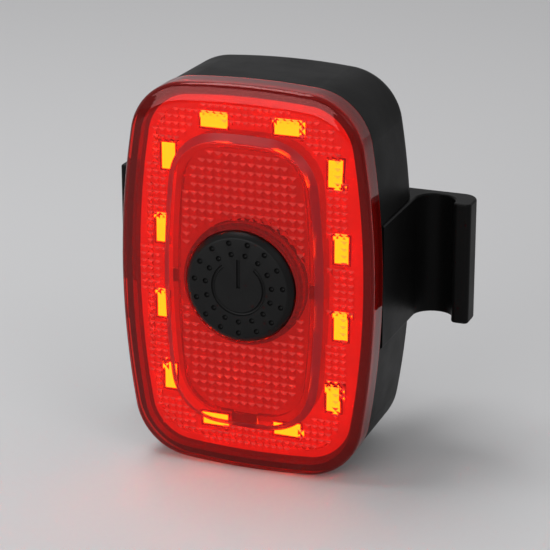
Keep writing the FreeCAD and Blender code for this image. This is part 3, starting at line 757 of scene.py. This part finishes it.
def diode_patches(pitch):
    """Rectangles four cells by two before the diodes, where the lens is left clear."""
    patches = []
    for (x0, z0), _, (x1, z1), _ in diode_windows():
        x, z = (x0 + x1) / 2, (z0 + z1) / 2
        half_x, half_z = (2 * pitch, pitch) if x1 - x0 > z1 - z0 else (pitch, 2 * pitch)
        patches.append((x - half_x, x + half_x, z - half_z, z + half_z))
    return patches


def bevel_profile():
    """Insets and depths of the lens's rim and its convex bevel, from the skirt to the ring."""
    turn = math.pi / 2 - math.atan2(bevel_rise, bevel_width)
    centre_y = rim_y + rim_round * math.tan(turn / 2)
    points = []
    for n in range(rim_steps + 1):
        a = turn * n / rim_steps
        points.append((rim_round * (1 - math.cos(a)), centre_y - rim_round * math.sin(a)))
    start, end = points[-1], (bevel_width, ring_y)
    for n in range(1, bevel_steps + 1):
        t = n / bevel_steps
        bulge = bevel_bulge * math.sin(math.pi * t)
        points.append((start[0] + (end[0] - start[0]) * t,
                       start[1] + (end[1] - start[1]) * t - bulge))
    return points


def window_profile():
    """Insets and depths of the raised window's wall and its round edge."""
    slope = math.atan2(ring_y - window_y, window_slope)
    centre_inset = window_edge_round * math.tan(slope / 2)
    centre_y = window_y + window_edge_round
    points = [(-window_slope, ring_y)]
    for n in range(window_edge_steps + 1):
        a = slope * (1 - n / window_edge_steps)
        points.append((centre_inset - window_edge_round * math.sin(a),
                       centre_y - window_edge_round * math.cos(a)))
    return points


def lens_shell(ring_pitch, window_pitch):
    """Closed lens without its notches; prism cells, the collar with its painted glow and the window
    wall carry marks.
    """
    bm = bmesh.new()
    prism = bm.faces.layers.int.new("prism_cell")
    painted_glow_mark = bm.faces.layers.int.new("lit_wall")
    slope = bm.faces.layers.int.new("window_wall")
    bridges(bm, rings_of(bm, face_loop, [(0.0, seam_y), *bevel_profile()]))
    rise = window_profile()
    wall, *_ = bridges(bm, rings_of(bm, window_loop, rise))
    for face in wall:
        face[slope] = 1
    foot, top = window_loop(-window_slope), window_loop(rise[-1][0])
    flat_face(bm, ring_y, face_loop(bevel_width), [foot])
    flat_face(bm, window_y, top, [circle(bore_radius)])
    sleeve(bm, circle(bore_radius), window_y, window_back_y)
    collar = [(bore_radius, window_back_y), (bore_radius, collar_back_y),
              (collar_outer, collar_back_y), (collar_outer, window_back_y)]
    # The collar's faces are marked for their painted glow
    for band in bridges(bm, rings_of(bm, circle, collar)):
        for face in band:
            face[painted_glow_mark] = 1
    pocket, skirt_inside = window_loop(window_wall), face_loop(skirt_wall)
    keep_out = collar_outer + prism_margin
    cells = prism_cells(window_pitch, pocket, [], keep_out)
    flat_face(bm, window_back_y, pocket, [circle(collar_outer)], cells, prism)
    sleeve(bm, pocket, window_back_y, ring_back_y)
    cells = prism_cells(ring_pitch, face_loop(ring_prism_inset), [foot], keep_out,
                        diode_patches(ring_pitch))
    flat_face(bm, ring_back_y, skirt_inside, [pocket], cells, prism)
    sleeve(bm, skirt_inside, ring_back_y, seam_y)
    bridge(bm, ring_of(bm, skirt_inside, seam_y), ring_of(bm, face_loop(), seam_y))
    return finished_mesh(bm, "lens")


def prism_tree():
    """Tree that turns every marked cell into a four sided prism, and its inputs' identifiers."""
    tree, sockets, start, end = shape_tree("lens_prisms", {
        "Prism height": "NodeSocketFloat", "Material": "NodeSocketMaterial",
        "Lit wall": "NodeSocketMaterial", "Facet": "NodeSocketMaterial",
        "Window wall": "NodeSocketMaterial"})

    def marked(name):
        mark = add_node(tree, "GeometryNodeInputNamedAttribute", {"Name": name},
                        data_type="BOOLEAN")
        return mark.outputs["Attribute"]

    raised = add_node(tree, "GeometryNodeExtrudeMesh", {
        "Mesh": start.outputs["Geometry"], "Selection": marked("prism_cell"),
        "Offset Scale": start.outputs["Prism height"]}, mode="FACES")
    shrunk = add_node(tree, "GeometryNodeScaleElements", {
        "Geometry": raised.outputs["Mesh"], "Selection": raised.outputs["Top"], "Scale": 0.0})
    merged = add_node(tree, "GeometryNodeMergeByDistance", {
        "Geometry": shrunk.outputs["Geometry"], "Distance": weld})
    whole = add_node(tree, "GeometryNodeRealizeInstances", {
        "Geometry": merged.outputs["Geometry"]})
    direction = add_node(tree, "GeometryNodeInputNormal")
    axes = add_node(tree, "ShaderNodeSeparateXYZ", {"Vector": direction.outputs["Normal"]})
    # Sides that face up get the painted highlight
    faces_up_for_highlight = maths(tree, "GREATER_THAN", axes.outputs["Z"], highlight_lean)
    painted_highlight_side = maths(tree, "MULTIPLY", faces_up_for_highlight, raised.outputs["Side"])
    shape = whole.outputs["Geometry"]
    # Painted glow goes on the collar, and the painted highlight on the prisms' upper sides
    for finish, chosen in (("Material", True), ("Lit wall", marked("lit_wall")),
                           ("Facet", painted_highlight_side), ("Window wall", marked("window_wall"))):
        painted = add_node(tree, "GeometryNodeSetMaterial", {
            "Geometry": shape, "Selection": chosen, "Material": start.outputs[finish]})
        shape = painted.outputs["Geometry"]
    tree.links.new(shape, end.inputs["Geometry"])
    return tree, sockets


def lens_notches():
    """Three blocks that cut the notches beside the window's inner wall."""
    low, high = ring_back_y - notch_depth, ring_back_y + notch_depth
    below = window_half_height - window_wall
    beside = window_half_width - window_wall
    half, side_half = notch_long / 2, notch_side_long / 2
    return [
        block("notch_low", -half, half, low, high,
              mid_z - below - notch_wide, mid_z - below + notch_lap),
        block("notch_right", beside - notch_lap, beside + notch_side_wide, low, high,
              mid_z - side_half, mid_z + side_half),
        block("notch_left", -beside - notch_side_wide, -beside + notch_lap, low, high,
              mid_z - side_half, mid_z + side_half),
    ]


class LIGHT_OT_lens(bpy.types.Operator):
    """Builds the red lens with its window, prisms, collar and notches"""

    bl_idname = "rear_light.lens"
    bl_label = "Lens"

    def execute(self, context):
        settings = context.scene.rear_light_lens
        glow = context.scene.rear_light_glow
        lens = new_object("lens", lens_shell(settings.ring_pitch, settings.window_pitch))
        run_tree(lens, *prism_tree(), {
            "Prism height": settings.prism_height,
            "Material": lens_material(settings.colour, settings.clearness),
            "Lit wall": painted_glow_wall_material(glow.collar),
            "Facet": facet_highlight_material(settings.colour, glow.facet),
            "Window wall": window_wall_material()})
        shaded = notch_material()
        for notch in lens_notches():
            notch.data.materials.append(shaded)
            cut(lens, notch)
        crease(lens.data, lens_crease)
        place(lens, "light", "front_lens")
        return {"FINISHED"}


# Plate, diodes and the small pieces inside


def loose_parts(bm):
    """Places of the vertices of each joined part."""
    parts, seen = [], set()
    for start in bm.verts:
        if start in seen:
            continue
        part, queue = [], [start]
        seen.add(start)
        while queue:
            vert = queue.pop()
            part.append(vert.co)
            near = {edge.other_vert(vert) for edge in vert.link_edges} - seen
            seen |= near
            queue += near
        parts.append(part)
    return parts


def diode_windows():
    """Rectangles of the plate's windows, read from the diode bodies."""
    bm = bmesh.new()
    bm.from_mesh(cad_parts["led_packages"].data)
    bmesh.ops.remove_doubles(bm, verts=bm.verts, dist=weld)
    windows = []
    for part in loose_parts(bm):
        x0, x1 = min(c.x for c in part) - diode_gap, max(c.x for c in part) + diode_gap
        z0 = min(c.z for c in part) - diode_gap - mid_z
        z1 = max(c.z for c in part) + diode_gap - mid_z
        windows.append([(x0, z0), (x1, z0), (x1, z1), (x0, z1)])
    bm.free()
    return windows


def plate_shell():
    """Closed plate with its diode windows and its raised rim, whose lip seats on the tongue."""
    bm = bmesh.new()
    inner_inset, lip_y = plate_inset + lip_wall, plate_low.y
    holes = [circle(plate_hole_radius, plate_hole_steps), *diode_windows()]
    flat_face(bm, plate_face_y, face_loop(inner_inset), holes, painted_shade_zone=window_loop(-dim_margin))
    # The lip's inner part gets the plate's painted glow
    painted_glow_section = [(inner_inset, plate_face_y), (inner_inset, lip_y), (lip_painted_glow_inset, lip_y)]
    # The rest of the rim is painted dark as shade
    painted_dark_section = [(lip_inset, lip_y), (lip_inset, lip_y + lip_thick),
                    (plate_inset, lip_y + lip_thick), (plate_inset, plate_high.y)]
    bands = bridges(bm, rings_of(bm, face_loop, painted_glow_section + painted_dark_section))
    for band in bands[len(painted_glow_section) - 1:]:
        for face in band:
            face.material_index = painted_dark_rim_finish
    flat_face(bm, plate_high.y, face_loop(plate_inset), holes)
    for hole in holes:
        sleeve(bm, hole, plate_face_y, plate_high.y)
    return finished_mesh(bm, "painted_glow_plate")


class LIGHT_OT_plate(bpy.types.Operator):
    """Builds the plate behind the lens with its painted glow and painted shade, and lets the diodes
    glow
    """

    bl_idname = "rear_light.plate"
    bl_label = "Plate and diodes"

    def execute(self, context):
        glow = context.scene.rear_light_glow
        plate = new_object("painted_glow_plate", plate_shell())
        # Painted glow round the diodes, painted shade with weaker glow behind the window, rim
        # painted dark as shade
        finishes = {
            painted_glow_finish: plate_painted_glow_material(
                "plate_ring_painted_glow", shade=0.83, colour=glow.painted_glow_colour, strength=glow.ring),
            painted_shade_and_glow_finish: plate_painted_glow_material(
                "plate_middle_painted_shade_and_glow", shade=0.5, colour=glow.painted_glow_colour, strength=glow.middle),
            painted_dark_rim_finish: moulded_plastic("plate_rim_painted_shade", shade=0.08, roughness=0.5),
        }
        for finish in finishes.values():
            plate.data.materials.append(finish)
        crease(plate.data, plate_crease)
        place(plate, "light", "reflector_plate")
        # The retainer gets the plate's painted shade and weaker painted glow
        dress("button_retainer", finishes[painted_shade_and_glow_finish])
        dress("led_phosphor", phosphor_material(glow.diode_colour, glow.diode))
        # Plate and diodes are seen to shine but light nothing that is matt
        for piece in (plate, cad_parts["led_phosphor"]):
            piece.visible_diffuse = False
        return {"FINISHED"}


class LIGHT_OT_inside(bpy.types.Operator):
    """Gives the small pieces inside the housing their finishes"""

    bl_idname = "rear_light.inside"
    bl_label = "Pieces inside"

    def execute(self, context):
        finishes = small_part_finishes()
        for name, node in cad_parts.items():
            slot = node.data.materials[0].name.split(".")[0]
            if slot in finishes:
                dress(name, finishes[slot])
        return {"FINISHED"}


# Button


def button_profile():
    """Radii and depths of the cap, from the middle of its face round to its inside."""
    face_y, back_y = button_low.y, button_high.y
    shoulder_y = back_y - flange_thick
    inner = button_radius - button_side_wall
    soft, slant = button_edge_round, button_chamfer
    face_edge = [(button_radius - slant + across * soft, face_y + along * soft)
                 for across, along in soft_corner]
    side_edge = [(button_radius - along * soft, face_y + slant - across * soft)
                 for across, along in reversed(soft_corner)]
    return [(button_face_middle, face_y), *face_edge, *side_edge, (button_radius, shoulder_y),
            (flange_radius, shoulder_y), (flange_radius, back_y), (inner, back_y),
            (inner, face_y + button_face_wall)]


def button_shell():
    """Closed cap, turned round the button's axis."""
    bm = bmesh.new()
    rings = rings_of(bm, circle, button_profile())
    bridges(bm, rings)
    for end in (rings[0], rings[-1]):
        bm.faces.new(end)
    return finished_mesh(bm, "button")


def button_mark_tree():
    """Tree that presses the dimples and the switch sign into the button's face, and its
    inputs' identifiers."""
    tree, sockets, start, end = shape_tree("button_marks", {
        "Dimples": "NodeSocketInt", "Outer ring": "NodeSocketFloat",
        "Inner ring": "NodeSocketFloat", "Dimple radius": "NodeSocketFloat",
        "Sign radius": "NodeSocketFloat", "Bar length": "NodeSocketFloat",
        "Groove radius": "NodeSocketFloat", "Gap": "NodeSocketFloat",
        "Face": "NodeSocketVector", "Material": "NodeSocketMaterial"})
    given = start.outputs
    quarter_turn = math.pi / 2
    tools = add_node(tree, "GeometryNodeJoinGeometry")

    half_step = maths(tree, "DIVIDE", math.pi, given["Dimples"])
    turn = add_node(tree, "ShaderNodeCombineXYZ", {
        "Z": maths(tree, "ADD", half_step, quarter_turn)})
    ball = add_node(tree, "GeometryNodeMeshIcoSphere", {
        "Radius": given["Dimple radius"], "Subdivisions": dimple_divisions})
    for ring in ("Outer ring", "Inner ring"):
        places = add_node(tree, "GeometryNodeMeshCircle", {
            "Vertices": given["Dimples"], "Radius": given[ring]})
        turned = add_node(tree, "GeometryNodeTransform", {
            "Geometry": places.outputs["Mesh"], "Rotation": turn.outputs["Vector"]})
        dots = add_node(tree, "GeometryNodeInstanceOnPoints", {
            "Points": turned.outputs["Geometry"], "Instance": ball.outputs["Mesh"]})
        tree.links.new(dots.outputs["Instances"], tools.inputs["Geometry"])

    arc = add_node(tree, "GeometryNodeCurveArc", {
        "Resolution": sign_arc_steps, "Radius": given["Sign radius"],
        "Start Angle": maths(tree, "ADD", given["Gap"], quarter_turn),
        "Sweep Angle": maths(tree, "MULTIPLY_ADD", given["Gap"], -2.0, 2 * math.pi)})
    bar_end = add_node(tree, "ShaderNodeCombineXYZ", {"Y": given["Bar length"]})
    bar = add_node(tree, "GeometryNodeCurvePrimitiveLine", {"End": bar_end.outputs["Vector"]})
    section = add_node(tree, "GeometryNodeCurvePrimitiveCircle", {
        "Resolution": groove_sides, "Radius": given["Groove radius"]})
    for line in (arc, bar):
        groove = add_node(tree, "GeometryNodeCurveToMesh", {
            "Curve": line.outputs["Curve"], "Profile Curve": section.outputs["Curve"],
            "Fill Caps": True})
        tree.links.new(groove.outputs["Mesh"], tools.inputs["Geometry"])

    upright = add_node(tree, "GeometryNodeTransform", {
        "Geometry": tools.outputs["Geometry"], "Translation": given["Face"],
        "Rotation": (quarter_turn, 0.0, 0.0)})
    solid_tools = add_node(tree, "GeometryNodeRealizeInstances", {
        "Geometry": upright.outputs["Geometry"]})
    pressed = add_node(tree, "GeometryNodeMeshBoolean", {
        "Mesh 1": given["Geometry"], "Mesh 2": solid_tools.outputs["Geometry"]},
        operation="DIFFERENCE", solver="EXACT")
    whole = add_node(tree, "GeometryNodeRealizeInstances", {"Geometry": pressed.outputs["Mesh"]})
    painted = add_node(tree, "GeometryNodeSetMaterial", {
        "Geometry": whole.outputs["Geometry"], "Material": given["Material"]})
    tree.links.new(painted.outputs["Geometry"], end.inputs["Geometry"])
    return tree, sockets


class LIGHT_OT_button(bpy.types.Operator):
    """Builds the rubber button with its dimples and switch sign"""

    bl_idname = "rear_light.button"
    bl_label = "Button"

    def execute(self, context):
        settings = context.scene.rear_light_button
        rubber = soft_rubber("button_rubber", 0.004, 0.42, grain=0.18 * mm, depth=0.012 * mm)
        cap = new_object("button", button_shell())
        run_tree(cap, *button_mark_tree(), {
            "Dimples": settings.dimple_count, "Outer ring": outer_dimple_ring,
            "Inner ring": inner_dimple_ring, "Dimple radius": settings.dimple_radius,
            "Sign radius": settings.mark_radius, "Bar length": settings.mark_bar,
            "Groove radius": settings.mark_groove, "Gap": settings.mark_gap,
            "Face": (0.0, button_low.y, mid_z), "Material": rubber})
        crease(cap.data, button_crease)
        cap.data.materials.clear()
        cap.data.materials.append(rubber)
        place(cap, "button", "button_cap")
        return {"FINISHED"}


# Casing, bracket and pad


class LIGHT_OT_casing(bpy.types.Operator):
    """Dresses the housing and the port's rubber cover"""

    bl_idname = "rear_light.casing"
    bl_label = "Casing"

    def execute(self, context):
        dress("rear_housing", moulded_plastic("housing_black", 0.006, 0.42))
        rubber = soft_rubber("cover_rubber", 0.014, 0.6)
        dress("port_cover", rubber)
        dress("port_cover_root", rubber)
        return {"FINISHED"}


class LIGHT_OT_bracket(bpy.types.Operator):
    """Dresses the strap bracket and the rubber saddle"""

    bl_idname = "rear_light.bracket"
    bl_label = "Bracket and saddle"

    def execute(self, context):
        dress("strap_bracket", moulded_plastic("bracket_black", 0.005, 0.38))
        dress("saddle_pad",
              soft_rubber("pad_rubber", 0.016, 0.7, grain=0.4 * mm, depth=0.04 * mm))
        return {"FINISHED"}


# Stage


def facing(direction):
    """Turn of a camera or lamp that looks along a direction, upright."""
    return direction.to_track_quat("-Z", "Y").to_matrix().to_4x4()


def camera_at_view():
    """Camera at the photograph's angle, distance and framing."""
    back = Vector((math.sin(view_azimuth) * math.cos(view_elevation),
                   -math.cos(view_azimuth) * math.cos(view_elevation),
                   math.sin(view_elevation)))
    right = Vector((math.cos(view_azimuth), math.sin(view_azimuth), 0.0))
    up = back.cross(right)
    aim = Vector((0.0, seam_y - aim_depth, mid_z)) + right * aim_right + up * aim_up
    lens = bpy.data.cameras.new("camera")
    lens.lens = view_lens
    lens.sensor_width = view_sensor
    lens.clip_start, lens.clip_end = view_near, view_far
    camera = new_object("camera", lens)
    camera.matrix_world = Matrix.Translation(aim + back * view_distance) @ facing(-back)
    return camera


def paper_floor(colour):
    """Plain floor of grained paper."""
    bm = bmesh.new()
    bmesh.ops.create_grid(bm, x_segments=1, y_segments=1, size=floor_half)
    floor = new_object("floor", finished_mesh(bm, "floor"))
    floor.data.materials.append(
        grained(finish_named("floor_paper", colour, 0.7), 1.5 * mm, 0.02 * mm))
    return floor


def soft_box(name, box, power):
    """Rectangular lamp that faces the light's middle."""
    offset, width, height = box
    lamp = bpy.data.lights.new(name, "AREA")
    lamp.shape = "RECTANGLE"
    lamp.size, lamp.size_y = width, height
    lamp.energy = power
    middle = Vector((0.0, 0.0, mid_z))
    spot = middle + Vector(offset)
    new_object(name, lamp).matrix_world = Matrix.Translation(spot) @ facing(middle - spot)


def surround(scene, pale, strength):
    """Even light from all round; the camera and gloss see it in the floor's colour."""
    world = bpy.data.worlds.new("studio")
    scene.world = world
    world.use_nodes = True
    tree = world.node_tree
    seen = tree.nodes["Background"]
    seen.inputs["Color"].default_value = (*pale, 1.0)
    seen.inputs["Strength"].default_value = air_strength
    fill = add_node(tree, "ShaderNodeBackground", {
        "Color": (1.0, 1.0, 1.0, 1.0), "Strength": strength})
    ways = add_node(tree, "ShaderNodeLightPath").outputs
    is_seen = maths(tree, "MAXIMUM", ways["Is Camera Ray"], ways["Is Glossy Ray"])
    is_seen = maths(tree, "MAXIMUM", is_seen, ways["Is Transmission Ray"])
    choose = add_node(tree, "ShaderNodeMixShader", {
        "Fac": is_seen, 1: fill.outputs["Background"], 2: seen.outputs["Background"]})
    tree.links.new(choose.outputs["Shader"], tree.nodes["World Output"].inputs["Surface"])


class LIGHT_OT_stage(bpy.types.Operator):
    """Builds the camera, the pale floor and the soft lights"""

    bl_idname = "rear_light.stage"
    bl_label = "Stage"

    def execute(self, context):
        settings = context.scene.rear_light_stage
        scene = context.scene
        scene.view_settings.view_transform = "Standard"
        scene.camera = camera_at_view()
        paper_floor(settings.floor)
        soft_box("overhead_box", overhead_box, settings.overhead)
        soft_box("side_box", side_box, settings.side)
        soft_box("front_box", front_box, settings.front)
        surround(scene, settings.floor, settings.fill)
        return {"FINISHED"}


class LIGHT_PT_panel(bpy.types.Panel):
    """Lists the steps that build the light"""

    bl_label = "Rear light"
    bl_idname = "LIGHT_PT_panel"
    bl_space_type = "VIEW_3D"
    bl_region_type = "UI"
    bl_category = "Rear light"

    def draw(self, context):
        for step in steps:
            self.layout.operator(step.bl_idname)


steps = (LIGHT_OT_stage, LIGHT_OT_lens, LIGHT_OT_plate, LIGHT_OT_inside, LIGHT_OT_button,
         LIGHT_OT_casing, LIGHT_OT_bracket)
groups = {"rear_light_lens": LensSettings, "rear_light_glow": GlowSettings,
          "rear_light_button": ButtonSettings, "rear_light_stage": StageSettings}


def register():
    for kind in (*groups.values(), *steps, LIGHT_PT_panel):
        bpy.utils.register_class(kind)
    for name, group in groups.items():
        setattr(bpy.types.Scene, name, bpy.props.PointerProperty(type=group))


def unregister():
    for name in groups:
        delattr(bpy.types.Scene, name)
    for kind in (LIGHT_PT_panel, *reversed(steps), *groups.values()):
        bpy.utils.unregister_class(kind)


def main():
    register()
    bpy.ops.rear_light.stage()
    bpy.ops.rear_light.lens()
    bpy.ops.rear_light.plate()
    bpy.ops.rear_light.inside()
    bpy.ops.rear_light.button()
    bpy.ops.rear_light.casing()
    bpy.ops.rear_light.bracket()


if __name__ == "__main__":
    main()
